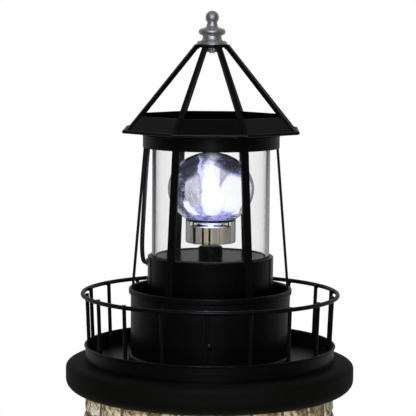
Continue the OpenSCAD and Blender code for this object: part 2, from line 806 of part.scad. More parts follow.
module finial() {
    ball_r = 6;
    ball_z = 23.9;
    roll_r = 2.8;
    roll_mid = 9.2;
    roll_z = 11.2;
    profile = concat(
        [[0, -apex_t - nut_h - 1], [finial_stud_r, -apex_t - nut_h - 1], [finial_stud_r, weld_gap],
         [13.6, weld_gap], [13.6, 1], [12.7, 2.8], [9.4, 3.5], [8.6, 5], [8.3, 7.6]],
        arc(roll_mid, roll_z, roll_r, roll_r, -75, 80, 10),
        [[8.2, 14.4], [6.1, 14.9], [5.1, 16.2], [4.5, 18.4]],
        arc(0, ball_z, ball_r, ball_r, -42, 90, 12));
    color("silver") translate([0, 0, apex_top]) rotate_extrude() polygon(profile);
}

module finial_nut() {
    color("silver") translate([0, 0, apex_top - apex_t - nut_h - weld_gap]) difference() {
        cylinder(r = nut_r, h = nut_h, $fn = 6);
        translate([0, 0, -1]) cylinder(r = finial_stud_r, h = nut_h + 2, $fn = 48);
    }
}

// ---------- solar panel ----------

module panel_tray() {
    lip = 1.6;
    color("black") difference() {
        translate([0, 0, brim_top]) octagon_prism(tray_r, tray_t);
        translate([0, 0, brim_top + tray_t - panel_cover_t - cell_t]) octagon_prism(tray_r - lip, tray_t);
        translate([cable_top[0], cable_y, brim_top - 1]) cylinder(r = lead_hole_r, h = tray_t + 2, $fn = 32);
    }
}

module solar_cell() {
    color("navy") box([cell_w, cell_w, cell_t], [0, 0, brim_top + tray_t - panel_cover_t - cell_t]);
}

module panel_cover() {
    color("lightblue", 0.4) translate([0, 0, brim_top + tray_t - panel_cover_t])
        octagon_prism(tray_r - 1.6 - fit, panel_cover_t);
}

// ---------- cable ----------

function unit(v) = v / norm(v);

// Direction of travel at point i of a route.
function heading(path, i) =
    unit(path[min(i + 1, len(path) - 1)] - path[max(i - 1, 0)]);

// Tube along a route that lies in one upright plane across Y.
module tube(path, r, sides) {
    n = len(path);
    points = [for (i = [0 : n - 1], k = [0 : sides - 1])
        let (t = heading(path, i), u = [0, 1, 0], v = cross(t, u), a = 360 * k / sides)
        path[i] + r * (cos(a) * u + sin(a) * v)];
    walls = [for (i = [0 : n - 2], k = [0 : sides - 1])
        let (a = i * sides + k, b = i * sides + (k + 1) % sides) each [[a, b, b + sides], [a, b + sides, a + sides]]];
    ends = concat([for (k = [1 : sides - 2]) [0, k + 1, k]],
        [for (k = [1 : sides - 2]) let (o = (n - 1) * sides) [o, o + k, o + k + 1]]);
    polyhedron(points = points, faces = concat([for (f = walls) [f[0], f[2], f[1]]],
        [for (f = ends) [f[0], f[2], f[1]]]));
}

module solar_cable() {
    color("black") tube(cable_points, cable_r, cable_sides);
}

module cable_grommets() {
    color("dimgray") {
        translate([cable_top[0], cable_y, ceiling_z - flange_t + weld_gap]) {
            cylinder(r = flange_r, h = flange_t - 2 * weld_gap, $fn = 32);
            cylinder(r = grommet_r, h = flange_t + ceiling_t - weld_gap, $fn = 32);
        }
        translate([cable_end[0] + weld_gap, cable_y, cable_end[2]]) rotate([0, 90, 0]) {
            cylinder(r = flange_r, h = flange_t, $fn = 32);
            cylinder(r = grommet_r, h = flange_t + 5, $fn = 32);
        }
    }
}

// ---------- the whole part ----------

tower_shell();
gallery_base();
gallery_pan();
pan_screws();
rail_ring();
balusters();
lamp_well();
well_brackets();
well_screws();
lamp_housing();
housing_base();
housing_screws();
battery_door();
battery_1();
battery_2();
battery_contacts();
circuit_board();
switch_body();
switch_slider();
gear_motor();
motor_screws();
brush_block();
shaft_boss();
beacon_shaft();
slip_ring();
lamp_sleeve();
beacon_cup();
led_board();
led_lamp();
reflector_dish();
globe();
glass_gaskets();
glass_cylinder();
for (i = [1 : 6]) post(post_angles[i - 1]);
roof_collar();
ceiling_plate();
roof_brim();
roof_skirt();
for (i = [1 : 8]) rafter(half_step + octagon * (i - 1));
apex_plate();
finial();
finial_nut();
panel_tray();
solar_cell();
panel_cover();
solar_cable();
cable_grommets();
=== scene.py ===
# Looks of a garden lighthouse ornament with a turning beacon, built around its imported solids.
# Everything is in metres: +Z up, front towards -Y, origin on the ground under the middle of the tower.
import json
import math

import bmesh
import bpy
from mathutils import Matrix, Vector


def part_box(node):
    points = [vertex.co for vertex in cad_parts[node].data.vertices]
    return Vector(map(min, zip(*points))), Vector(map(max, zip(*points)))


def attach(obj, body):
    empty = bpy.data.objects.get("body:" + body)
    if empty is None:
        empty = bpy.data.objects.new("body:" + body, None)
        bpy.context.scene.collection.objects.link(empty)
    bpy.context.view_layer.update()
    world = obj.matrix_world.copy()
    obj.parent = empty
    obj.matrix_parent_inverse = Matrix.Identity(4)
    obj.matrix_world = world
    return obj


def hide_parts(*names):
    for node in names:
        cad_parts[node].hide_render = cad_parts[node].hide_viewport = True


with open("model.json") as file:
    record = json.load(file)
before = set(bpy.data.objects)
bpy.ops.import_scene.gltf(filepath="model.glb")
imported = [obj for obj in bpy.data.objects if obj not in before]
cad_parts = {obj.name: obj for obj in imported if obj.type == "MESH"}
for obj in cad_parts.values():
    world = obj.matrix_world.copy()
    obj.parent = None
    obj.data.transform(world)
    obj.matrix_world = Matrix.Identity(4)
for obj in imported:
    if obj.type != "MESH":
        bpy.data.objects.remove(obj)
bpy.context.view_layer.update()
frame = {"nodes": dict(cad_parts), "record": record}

bl_info = {
    "name": "Garden Lighthouse",
    "version": (1, 0, 0),
    "blender": (4, 5, 0),
    "location": "3D View > Sidebar > Lighthouse",
    "description": "Finishes a garden lighthouse ornament with a stone tower and a turning beacon",
    "category": "Object",
}

MM = 0.001

# Levels and radii that the new pieces share with the solids
TOWER_H = 578 * MM
TOWER_TOP_R = 110.6 * MM
TOWER_BASE_R = 160 * MM
TOWER_WALL = 10 * MM
CROWN_HOLE_R = 32 * MM
DISC_BOTTOM = 572 * MM
DISC_TOP = 600.5 * MM
PAN_FLOOR = 601.6 * MM
RAIL_Z = 660 * MM
WELL_R = 71.5 * MM
WELL_IN_R = 70.5 * MM
WELL_TOP = 665.8 * MM
DECK_Z = 694.6 * MM
GLOBE_Z = 755 * MM
GLOBE_A = 38.7 * MM
GLOBE_B = 32.9 * MM
GLOBE_T = 1.8 * MM
FLAME_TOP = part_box("led_lamp")[1][2]
COLLAR_BOTTOM = 792.1 * MM
COLLAR_IN_R = 60.4 * MM
BRIM_TOP = 808.1 * MM
APEX_TOP = 883.8 * MM
APEX_R = 13 * MM
HIP_FOOT_R = 81.07 * MM
BALUSTERS = 18
BALUSTER_TURN = -1
PAN_RIM_Z = DISC_TOP + 13 * MM
BALUSTER_FOOT_R = 109.18 * MM
BALUSTER_HEAD_R = 111.08 * MM

# Route of the panel's lead, from the lantern's ceiling into the lamp housing
CABLE_R = 2 * MM
CABLE_Y = 6.4 * MM
CABLE_ROUTE = [(x * MM, CABLE_Y, z * MM) for x, z in (
    (-56.4, 803.9), (-56.4, 798.6), (-56.8, 790.6), (-57.8, 778.6), (-59, 760.6), (-60.2, 739.6), (-61.4, 716.6),
    (-61.8, 704.6), (-61.7, 697.6), (-61.3, 692.6), (-60.6, 689.2), (-59.3, 687.4), (-58.1, 687.4))]


# ---------- sums in node trees ----------

class Term:
    """A node's output that takes part in sums."""

    def __init__(self, graph, socket):
        self.graph = graph
        self.socket = socket

    def sum(self, operation, *terms, **settings):
        return self.graph.add("ShaderNodeMath", {"operation": operation, **settings}, dict(enumerate(terms)))

    def output(self, name):
        """Another output of the same node."""
        return Term(self.graph, self.socket.node.outputs[name])

    def __add__(self, other):
        return self.sum("ADD", self, other)

    def __sub__(self, other):
        return self.sum("SUBTRACT", self, other)

    def __rsub__(self, other):
        return self.sum("SUBTRACT", other, self)

    def __mul__(self, other):
        return self.sum("MULTIPLY", self, other)

    def __truediv__(self, other):
        return self.sum("DIVIDE", self, other)

    def __rtruediv__(self, other):
        return self.sum("DIVIDE", other, self)

    def __pow__(self, other):
        return self.sum("POWER", self, other)

    def __neg__(self):
        return self.sum("MULTIPLY", self, -1)

    def __mod__(self, other):
        return self.sum("FLOORED_MODULO", self, other)

    __radd__ = __add__
    __rmul__ = __mul__

    def floor(self):
        return self.sum("FLOOR", self)

    def abs(self):
        return self.sum("ABSOLUTE", self)

    def sin(self):
        return self.sum("SINE", self)

    def cos(self):
        return self.sum("COSINE", self)

    def at_most(self, other):
        return self.sum("MINIMUM", self, other)

    def at_least(self, other):
        return self.sum("MAXIMUM", self, other)

    def above(self, limit):
        return self.sum("GREATER_THAN", self, limit)

    def fade(self, low, high):
        """0 at low and 1 at high, with a smooth change between them."""
        return self.graph.add("ShaderNodeMapRange", {"interpolation_type": "SMOOTHSTEP"},
                              {"Value": self, "From Min": low, "From Max": high})


class Graph:
    """A node tree, with one method that makes any of its nodes."""

    def __init__(self, tree):
        self.tree = tree

    def add(self, kind, settings=None, sockets=None, out=0):
        node = self.tree.nodes.new(kind)
        for name, value in (settings or {}).items():
            if name == "stops":
                self.set_stops(node.color_ramp, value)
            else:
                setattr(node, name, value)
        for key, value in (sockets or {}).items():
            if isinstance(value, Term):
                self.tree.links.new(value.socket, node.inputs[key])
            else:
                node.inputs[key].default_value = value
        return Term(self, node.outputs[out]) if len(node.outputs) else node

    def set_stops(self, ramp, stops):
        while len(ramp.elements) < len(stops):
            ramp.elements.new(0.5)
        for element, (place, colour) in zip(ramp.elements, stops):
            element.position = place
            element.color = (*colour, 1)


class Finish(Graph):
    """A material, with the patterns that its sockets are fed from."""

    def __init__(self, name):
        self.material = bpy.data.materials.new(name)
        self.material.use_nodes = True
        super().__init__(self.material.node_tree)
        self.shader = self.tree.nodes["Principled BSDF"]
        self.place = self.add("ShaderNodeTexCoord", out="Object")

    def feed(self, **sockets):
        """Sets or links the shader's sockets; base_color stands for Base Color."""
        for key, value in sockets.items():
            words = {"ior": "IOR", "specular_ior_level": "Specular IOR Level", "coat_ior": "Coat IOR"}
            socket = self.shader.inputs[words.get(key, key.replace("_", " ").title())]
            if isinstance(value, Term):
                self.tree.links.new(value.socket, socket)
            else:
                socket.default_value = (*value, 1) if isinstance(value, tuple) and len(value) == 3 else value
        return self

    def noise(self, scale, detail=4.0, roughness=0.5, distortion=0.0, place=None):
        return self.add("ShaderNodeTexNoise", None, {
            "Vector": place or self.place, "Scale": scale, "Detail": detail, "Roughness": roughness,
            "Distortion": distortion})

    def cells(self, scale, feature="F1", randomness=1.0, place=None):
        return self.add("ShaderNodeTexVoronoi", {"feature": feature}, {
            "Vector": place or self.place, "Scale": scale, "Randomness": randomness})

    def ramp(self, value, *stops):
        return self.add("ShaderNodeValToRGB", {"stops": stops}, {"Fac": value})

    def mix(self, amount, first, second, blend="MIX"):
        sockets = {0: amount, 6: first, 7: second}
        sockets = {k: (*v, 1) if isinstance(v, tuple) else v for k, v in sockets.items()}
        return self.add("ShaderNodeMix", {"data_type": "RGBA", "blend_type": blend}, sockets, out=2)

    def bump(self, height, depth, strength=1.0, under=None):
        """Relief of the given depth in metres, where height runs from 0 to 1."""
        sockets = {"Height": height, "Distance": depth, "Strength": strength}
        if under:
            sockets["Normal"] = under
        return self.add("ShaderNodeBump", None, sockets)

    def axis(self, name):
        split = self.add("ShaderNodeSeparateXYZ", None, {0: self.place})
        return split.output(name)

    def stretched(self, scale):
        """The place, with each axis scaled on its own."""
        return self.add("ShaderNodeMapping", None, {"Vector": self.place, "Scale": scale})


# ---------- finishes ----------

def black_enamel(name, colour, roughness, peel_scale, peel_depth, level=0.12, coat=0.25):
    """Black paint with a fine orange peel, a little dust, an uneven sheen and a clear coat that glints."""
    f = Finish(name)
    cloud = f.noise(14, 5, 0.6)
    dust = f.noise(420, 6, 0.7)
    speck = dust.fade(0.66, 0.78) * cloud.fade(0.4, 0.7)
    paint = f.mix(cloud, tuple(c * 0.75 for c in colour), tuple(c * 1.3 for c in colour))
    peel = f.noise(peel_scale, 3, 0.5)
    return f.feed(
        base_color=f.mix(speck * 0.15, paint, (0.03, 0.03, 0.029)),
        roughness=(cloud - 0.5) * 0.12 + speck * 0.1 + roughness,
        specular_ior_level=level, coat_weight=coat, coat_roughness=0.2,
        normal=f.bump(peel, peel_depth)).material


def cast_stone(name):
    """Cast stone: khaki grey faces, pale edges that are partly rubbed paint and partly a painted highlight, darker
    brown in the pits and towards the joints.
    """
    f = Finish(name)
    tone = f.add("ShaderNodeAttribute", {"attribute_name": "tone"}, out="Fac")
    edge = f.add("ShaderNodeAttribute", {"attribute_name": "edge"}, out="Fac")
    drift = f.noise(16, 4, 0.6)
    grain = f.noise(170, 8, 0.72, 0.4)
    sand = f.noise(900, 3, 0.6)
    pits = f.noise(95, 7, 0.66, 1.2)
    veins = f.cells(120, "DISTANCE_TO_EDGE", place=f.add("ShaderNodeVectorMath", {"operation": "ADD"}, {
        0: f.place, 1: f.add("ShaderNodeVectorMath", {"operation": "SCALE"}, {
            0: f.noise(60, 4).output("Color"), "Scale": 0.02})}))
    face = f.ramp(drift * 0.35 + tone * 0.35 + grain * 0.3,
                  (0.25, (0.215, 0.185, 0.105)), (0.45, (0.350, 0.315, 0.200)),
                  (0.60, (0.520, 0.475, 0.320)), (0.78, (0.680, 0.635, 0.455)))
    hollow = (pits.fade(0.53, 0.38) + veins.fade(0.06, 0.01) * 0.45).at_most(1)
    earthy = f.mix(f.noise(9, 3, 0.5).fade(0.45, 0.62) * 0.45, face, (0.300, 0.215, 0.095))
    # Darker brown in the pits and fine veins
    pits_darkened = f.mix(hollow * 0.92, earthy, (0.075, 0.045, 0.016))
    # Pale edges: partly rubbed paint, partly a painted highlight along the stones' edges
    worn_and_highlit_edges = f.mix(edge.fade(0.35, 0.8) * (1 - edge.fade(0.86, 1.0)) * grain.fade(0.40, 0.60) * 0.7,
                   pits_darkened, (0.66, 0.64, 0.53))
    joint = f.mix(edge.fade(0.86, 1.0) * 0.9, worn_and_highlit_edges, (0.11, 0.070, 0.032))
    relief = grain * 0.5 + sand * 0.12 - hollow * 0.55
    return f.feed(base_color=joint, roughness=0.93 - grain * 0.12, specular_ior_level=0.25,
                  normal=f.bump(relief, 1.1 * MM)).material


def joint_mortar(name):
    f = Finish(name)
    grit = f.noise(240, 6, 0.7)
    return f.feed(
        base_color=f.ramp(grit, (0.3, (0.050, 0.030, 0.014)), (0.7, (0.155, 0.105, 0.055))),
        roughness=0.95, specular_ior_level=0.2, normal=f.bump(grit, 0.8 * MM)).material


def bare_metal(name, colour, roughness, grain=(60, 60, 60), grain_depth=0.01 * MM, stain=0.12):
    """Metal with fine drawn lines along the axis whose grain is smallest."""
    f = Finish(name)
    lines = f.noise(20, 5, 0.65, place=f.stretched(grain))
    cloud = f.noise(70, 4)
    return f.feed(
        base_color=f.mix(cloud * stain, colour, tuple(c * 0.45 for c in colour)),
        metallic=1.0, roughness=lines * 0.12 + cloud * 0.08 + (roughness - 0.1),
        normal=f.bump(lines, grain_depth)).material


def pewter_cast(name):
    """Satin cast metal of the finial, its tone and roughness varying in soft clouds."""
    f = Finish(name)
    cloud = f.noise(90, 5, 0.6)
    sand = f.noise(900, 4, 0.6)
    return f.feed(
        base_color=f.ramp(cloud, (0.3, (0.74, 0.74, 0.735)), (0.7, (0.88, 0.88, 0.875))),
        metallic=1.0, roughness=cloud * 0.08 + sand * 0.04 + 0.44,
        normal=f.bump(sand, 0.001 * MM)).material


def polished_cup(name):
    """Drawn steel with upright bands of painted reflection: grey, beige and nearly black."""
    f = Finish(name)
    x, y = f.axis("X"), f.axis("Y")
    turn = f.add("ShaderNodeMath", {"operation": "ARCTAN2"}, {0: y, 1: x})
    lines = f.add("ShaderNodeTexNoise", {"noise_dimensions": "1D"}, {"W": turn, "Scale": 2.0, "Detail": 0.4})
    fine = f.add("ShaderNodeTexNoise", {"noise_dimensions": "1D"}, {"W": turn, "Scale": 46.0, "Detail": 3.0})
    # Painted reflections: lighter grey and beige bands, and nearly black bands, round the cup
    bright = f.mix(lines.fade(0.47, 0.50), (0.30, 0.29, 0.26), (0.42, 0.35, 0.22))
    painted_dark_bands = lines.fade(0.535, 0.545) * (1 - lines.fade(0.66, 0.68))
    return f.feed(
        base_color=f.mix(painted_dark_bands, bright, (0.008, 0.007, 0.006)),
        metallic=0.35, roughness=fine * 0.08 + 0.22, specular_ior_level=0.1,
        normal=f.bump(fine, 0.005 * MM)).material


def moulded(name, colour, roughness, grain_depth=0.03 * MM):
    """Moulded plastic or rubber with a fine spark-eroded grain."""
    f = Finish(name)
    grain = f.noise(1500, 3, 0.6)
    cloud = f.noise(40, 4)
    return f.feed(
        base_color=f.mix(cloud, tuple(c * 0.85 for c in colour), tuple(min(1, c * 1.12) for c in colour)),
        roughness=(cloud - 0.5) * 0.1 + grain * 0.1 + (roughness - 0.05), specular_ior_level=0.25,
        normal=f.bump(grain, grain_depth)).material


def clear_shell(name, colour, ior, ripple_scale=0, ripple_depth=0.0):
    """Clear glass or plastic; ripples are the slight waves of a moulded wall."""
    f = Finish(name)
    f.feed(base_color=colour, roughness=0.0, transmission_weight=1.0, ior=ior)
    if ripple_scale:
        f.feed(normal=f.bump(f.noise(ripple_scale, 2, 0.4, 0.6), ripple_depth))
    return f.material


def dish_with_painted_glow(name):
    """Mirror in the bottom of the globe, with violet streaks of the lamp's light painted on it as glow."""
    f = Finish(name)
    painted_streaks = f.noise(60, 4, 0.6, 1.5, place=f.stretched((1, 1, 3)))
    # The emission paints streaks of the lamp's violet light on the dish
    return f.feed(
        base_color=(0.35, 0.36, 0.46), metallic=0.7, roughness=0.25, emission_strength=0.9,
        emission_color=f.ramp(painted_streaks, (0.34, (0.05, 0.05, 0.13)), (0.48, (0.18, 0.19, 0.55)),
                              (0.56, (0.55, 0.60, 1.0)), (0.66, (0.14, 0.15, 0.36)))).material


def lit_flame(name, colour, strength):
    """The lamp's own light: a faint stem, a bright flame on it and a faint yellow tip."""
    f = Finish(name)
    z = f.axis("Z")
    flame = z.fade(FLAME_TOP - 36 * MM, FLAME_TOP - 28 * MM)
    tip = z.fade(FLAME_TOP - 9 * MM, FLAME_TOP - 2 * MM)
    return f.feed(
        base_color=(0.9, 0.9, 0.9), roughness=0.3, transmission_weight=0.0, emission_strength=strength,
        emission_color=f.mix(flame, (0.004, 0.004, 0.006), f.mix(tip, colour, (1.0, 0.93, 0.80)))).material


def solar_cells(name):
    """Dark blue cell with thin silver fingers and two wide bars."""
    f = Finish(name)
    x, y = f.axis("X"), f.axis("Y")
    pitch, bar_pitch = 2.2 * MM, 29.3 * MM
    finger = (x / pitch % 1 - 0.5).abs().fade(0.45, 0.48)
    bar = ((y / bar_pitch + 0.5) % 1 - 0.5).abs().fade(0.03, 0.025)
    gap = ((x / (22 * MM) + 0.5) % 1 - 0.5).abs().fade(0.475, 0.485)
    flake = f.cells(160, place=f.place)
    silicon = f.mix(flake.output("Color"), (0.006, 0.012, 0.05), (0.012, 0.03, 0.11))
    metal = f.mix((finger * 0.6 + bar).at_most(1), silicon, (0.55, 0.57, 0.6))
    return f.feed(base_color=f.mix(gap, metal, (0.02, 0.02, 0.025)), roughness=0.3).material


def cell_wrap(name):
    """Plain green sleeve of a rechargeable cell, with bare steel at both ends."""
    f = Finish(name)
    reach = f.axis("X").abs()
    end = reach.fade(23.6 * MM, 23.8 * MM)
    band = reach.fade(19.0 * MM, 19.1 * MM)
    scuff = f.noise(300, 5, 0.7)
    sleeve = f.mix(band, (0.02, 0.16, 0.05), (0.55, 0.56, 0.55))
    return f.feed(
        base_color=f.mix(end, f.mix(scuff.fade(0.6, 0.8) * 0.3, sleeve, (0.3, 0.34, 0.3)), (0.62, 0.61, 0.58)),
        metallic=end, roughness=scuff * 0.2 + 0.28).material


def board_finish(name, mask_colour, roughness=0.38):
    """Circuit board: solder mask over faint copper tracks, with bright pads."""
    f = Finish(name)
    track = f.cells(260, "DISTANCE_TO_EDGE", 0.15).fade(0.10, 0.06)
    pad = f.cells(330, "F1", 0.0).fade(0.16, 0.13)
    lighter = tuple(min(1, c * 1.6 + 0.01) for c in mask_colour)
    return f.feed(
        base_color=f.mix(pad, f.mix(track, mask_colour, lighter), (0.6, 0.6, 0.58)),
        metallic=pad * 0.8, roughness=roughness - pad * 0.1, normal=f.bump(track + pad, 0.05 * MM)).material


def painted_globe_light(name, colour, strength):
    """Painted light on the globe's inner wall: dark patches of painted shade high up and low on the left, a painted
    glare lobe, a painted halo round the flame, a painted crescent below and fine swirls that glow.
    """
    f = Finish(name)
    x, y, z = f.axis("X") / GLOBE_A, f.axis("Y") / GLOBE_A, (f.axis("Z") - GLOBE_Z) / GLOBE_B
    waves = f.add("ShaderNodeSeparateXYZ", None, {0: f.noise(38, 3, 0.55, 0.6).output("Color")})
    back = y.above(0)
    # Across and up, in half widths; the back repeats the front's pattern, turned half round
    u = x * (1 - back * 2) + (waves.output("X") - 0.5) * 0.5
    v = z + (waves.output("Y") - 0.5) * 0.5

    def lobe(across, up, wide, high, soft=0.2):
        reach = ((u - across) / wide) ** 2 + ((v - up) / high) ** 2
        return reach.fade(1.0, soft)

    # Painted shade: dark, nearly opaque patches high up and low on the left, where the globe only looks dark
    painted_shade_patches = lobe(-0.62, 0.66, 0.46, 0.40).at_least(lobe(0.50, 0.78, 0.46, 0.30))
    painted_shade_patches = painted_shade_patches.at_least(lobe(-0.86, -0.20, 0.40, 0.60)).at_least(lobe(-0.76, -0.50, 0.34, 0.40))
    painted_shade_patches = painted_shade_patches * f.noise(85, 4, 0.6, 0.8).fade(0.26, 0.46)
    # Painted glare of the flame on the front's right, a painted halo round the flame and a painted ghost reflection,
    # all shown as glow
    painted_glare = lobe(0.52, -0.04, 0.44, 0.62) * (1 - back)
    painted_flame_halo = lobe(0.06, -0.22, 0.34, 0.52).at_least(lobe(-0.02, 0.30, 0.24, 0.62) * 0.75) * (1 - back)
    painted_ghost_reflection = lobe(-0.22, 0.58, 0.07, 0.42) * 0.5
    # Painted crescent of light low on the front
    reach = (((u - 0.12) / 0.62) ** 2 + ((v + 0.02) / 0.86) ** 2) ** 0.5
    painted_crescent = (reach - 1).abs().fade(0.14, 0.03) * v.fade(-0.15, -0.40) * (1 - back)
    # Fine swirls whose light is painted on as glow
    flow = f.noise(52, 3, 0.55, 1.8)
    painted_lit_swirls = (flow * 7 % 1 - 0.5).abs().fade(0.34, 0.50) * 0.6
    # glow gathers all the painted light; the veil is a faint haze that also takes a little of the painted glow
    glow = painted_glare.at_least(painted_flame_halo).at_least(painted_crescent).at_least(painted_ghost_reflection).at_least(painted_lit_swirls * (1 - painted_shade_patches * 0.95))
    veil = f.noise(70, 4, 0.6).fade(0.35, 0.75) * 0.18
    painted_glow_colour = f.ramp((glow + veil * 0.4).at_most(1), (0.0, (0.006, 0.006, 0.007)), (0.22, (0.07, 0.07, 0.15)),
                   (0.45, (0.42, 0.46, 1.0)), (0.62, (0.95, 0.97, 1.0)))
    # The painted light is emission; the painted shade is dark and nearly opaque
    return f.feed(
        base_color=(0.012, 0.012, 0.013), roughness=0.4, alpha=(glow * 0.75 + painted_shade_patches * 0.78 + veil + 0.02).at_most(0.95),
        emission_color=f.mix(glow * 0.12, painted_glow_colour, colour), emission_strength=strength).material


def make_finishes(metal, lamp):
    """One finish for each material slot of the record, and a few for new pieces."""
    black = tuple(metal.black)
    cool = tuple(lamp.colour)
    peel = metal.peel_depth
    return {
        "stone": cast_stone("cast_stone"),
        "mortar": joint_mortar("joint_mortar"),
        "black_disc": black_enamel("disc_paint", (black[0] * 1.6, black[1] * 1.6, black[2] * 1.2),
                                   metal.disc_roughness, 420, peel * 1.5, 0.10, 0.0),
        "black_metal": black_enamel("satin_enamel", black, metal.satin_roughness, 700, peel),
        "black_gloss": black_enamel("gloss_enamel", black, metal.gloss_roughness, 300, peel * 0.35, 0.08, 0.25),
        "screw_black": bare_metal("blackened_screw", (0.05, 0.05, 0.055), 0.34),
        "zinc": bare_metal("dull_zinc_plate", (0.36, 0.36, 0.35), 0.5),
        "dark_plastic": moulded("dark_plastic", (0.005, 0.005, 0.006), 0.5),
        "white_plastic": moulded("ivory_plastic", (0.70, 0.68, 0.60), 0.4),
        "cell_wrap": cell_wrap("cell_wrap"),
        "board_green": board_finish("green_board", (0.01, 0.09, 0.03)),
        "board_white": board_finish("lamp_board", (0.80, 0.80, 0.78)),
        "motor_steel": bare_metal("motor_can", (0.50, 0.50, 0.49), 0.38, (60, 60, 4)),
        "shaft_steel": bare_metal("shaft_steel", (0.45, 0.45, 0.45), 0.25, (60, 60, 2)),
        "ring_brass": bare_metal("ring_brass", (0.72, 0.52, 0.24), 0.24, (20, 20, 200)),
        "cup_metal": polished_cup("polished_cup"),
        "dish_metal": dish_with_painted_glow("mirror_dish"),
        "clear_plastic": clear_shell("clear_plastic", (0.93, 0.94, 0.97), 1.46),
        "globe_clear": clear_shell("clear_globe", (0.92, 0.92, 0.94), 1.46, 55, 0.25 * MM),
        "lamp_white": lit_flame("lit_flame", cool, lamp.flame_strength),
        "clear_glass": clear_shell("clear_glass", (0.998, 0.998, 1.0), 1.47),
        "rubber_grey": moulded("gasket_rubber", (0.03, 0.03, 0.03), 0.7),
        "finial_pewter": pewter_cast("finial_pewter"),
        "solar_blue": solar_cells("solar_cells"),
        "cable_black": moulded("cable_sleeve", (0.006, 0.006, 0.007), 0.42),
        "painted_streaks": painted_globe_light("globe_streaks", cool, lamp.painted_glow_strength),
    }


FINISHES = {}


# ---------- meshes ----------

def collect(obj):
    bpy.context.scene.collection.objects.link(obj)
    return obj


def new_piece(name, mesh, finish, body, slot, *stands_for):
    """Puts a finished mesh in the scene, on its body and in place of the solids that it stands for."""
    obj = collect(bpy.data.objects.new(name, mesh))
    if FINISHES[finish].name not in mesh.materials:
        mesh.materials.clear()
        mesh.materials.append(FINISHES[finish])
    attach(obj, body)
    if stands_for:
        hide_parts(*stands_for)
    return obj


def from_bmesh(name, bm, smooth=True):
    bmesh.ops.remove_doubles(bm, verts=bm.verts, dist=1e-7)
    bmesh.ops.recalc_face_normals(bm, faces=bm.faces)
    for face in bm.faces:
        face.smooth = smooth
    mesh = bpy.data.meshes.new(name)
    bm.to_mesh(mesh)
    bm.free()
    return mesh


def lathe(name, profile, steps=96, closed=True):
    """Turns an outline of (radius, height) points about Z. A closed outline joins its last point to its first."""
    bm = bmesh.new()
    rings = []
    for k in range(steps):
        a = 2 * math.pi * k / steps
        rings.append([bm.verts.new((r * math.cos(a), r * math.sin(a), z)) for r, z in profile])
    spans = range(len(profile) if closed else len(profile) - 1)
    for k in range(steps):
        here, there = rings[k], rings[(k + 1) % steps]
        for i in spans:
            j = (i + 1) % len(profile)
            bm.faces.new((here[i], there[i], there[j], here[j]))
    return from_bmesh(name, bm)


def evaluated(obj):
    """The object's mesh with its modifiers in it; the object itself goes."""
    graph = bpy.context.evaluated_depsgraph_get()
    mesh = bpy.data.meshes.new_from_object(obj.evaluated_get(graph))
    old = obj.data
    bpy.data.objects.remove(obj)
    if old.users == 0:
        bpy.data.meshes.remove(old)
    return mesh


def soft_edges(mesh, angle=40):
    """Smooth faces, with edges sharper than the angle kept crisp."""
    mesh.set_sharp_from_angle(angle=math.radians(angle))
    return mesh


def grown(name, tree, inputs):
    """Runs a geometry tree on an empty mesh and returns what it makes."""
    host = collect(bpy.data.objects.new(name, bpy.data.meshes.new(name)))
    grower = host.modifiers.new("grow", "NODES")
    grower.node_group = tree
    for item in tree.interface.items_tree:
        if item.in_out == "INPUT" and item.name in inputs:
            grower[item.identifier] = inputs[item.name]
    mesh = evaluated(host)
    mesh.name = name
    return mesh


class Growth(Graph):
    """A geometry tree with named inputs, ending in Set Material."""

    KINDS = {float: "NodeSocketFloat", int: "NodeSocketInt", "material": "NodeSocketMaterial",
             "object": "NodeSocketObject"}

    def __init__(self, name, **inputs):
        super().__init__(bpy.data.node_groups.new(name, "GeometryNodeTree"))
        self.tree.interface.new_socket("Geometry", in_out="OUTPUT", socket_type="NodeSocketGeometry")
        inputs["Finish"] = "material"
        for label, kind in inputs.items():
            self.tree.interface.new_socket(label.replace("_", " "), in_out="INPUT", socket_type=self.KINDS[kind])
        self.source = self.tree.nodes.new("NodeGroupInput")

    def given(self, label):
        return Term(self, self.source.outputs[label])

    def vector(self, x=0.0, y=0.0, z=0.0):
        return self.add("ShaderNodeCombineXYZ", None, {0: x, 1: y, 2: z})

    def end(self, geometry):
        finished = self.add("GeometryNodeSetMaterial", None, {"Geometry": geometry, "Material": self.given("Finish")})
        sink = self.tree.nodes.new("NodeGroupOutput")
        self.tree.links.new(finished.socket, sink.inputs[0])
        return self.tree


def ring_tree():
    """Copies of one piece, evenly round the axis. The piece is drawn at the origin, facing out along +X."""
    g = Growth("ring_of_pieces", Piece="object", Count=int, Radius=float, Height=float, First_angle=float,
               Lean=float)
    index = g.add("GeometryNodeInputIndex")
    turn = index * (2 * math.pi) / g.given("Count") + g.given("First angle")
    radius = g.given("Radius")
    points = g.add("GeometryNodePoints", None, {
        "Count": g.given("Count"),
        "Position": g.vector(turn.cos() * radius, turn.sin() * radius, g.given("Height"))})
    piece = g.add("GeometryNodeObjectInfo", None, {"Object": g.given("Piece")}, out="Geometry")
    placed = g.add("GeometryNodeInstanceOnPoints", None, {
        "Points": points, "Instance": piece, "Rotation": g.vector(0.0, g.given("Lean"), turn)})
    return g.end(g.add("GeometryNodeRealizeInstances", None, {0: placed}))


def ring_of(name, template, finish, count, radius, height, first, lean=0.0):
    """Mesh of count copies of the template, the first at the angle first, in degrees from +X."""
    holder = collect(bpy.data.objects.new(name + "_template", template))
    mesh = grown(name, ring_tree(), {
        "Piece": holder, "Count": count, "Radius": radius, "Height": height, "First angle": math.radians(first),
        "Lean": lean, "Finish": FINISHES[finish]})
    bpy.data.objects.remove(holder)
    return mesh


def joined(name, meshes):
    """One mesh out of several."""
    bm = bmesh.new()
    for mesh in meshes:
        bm.from_mesh(mesh)
    whole = bpy.data.meshes.new(name)
    bm.to_mesh(whole)
    bm.free()
    for material in meshes[0].materials:
        whole.materials.append(material)
    return whole


# ---------- the stone tower ----------

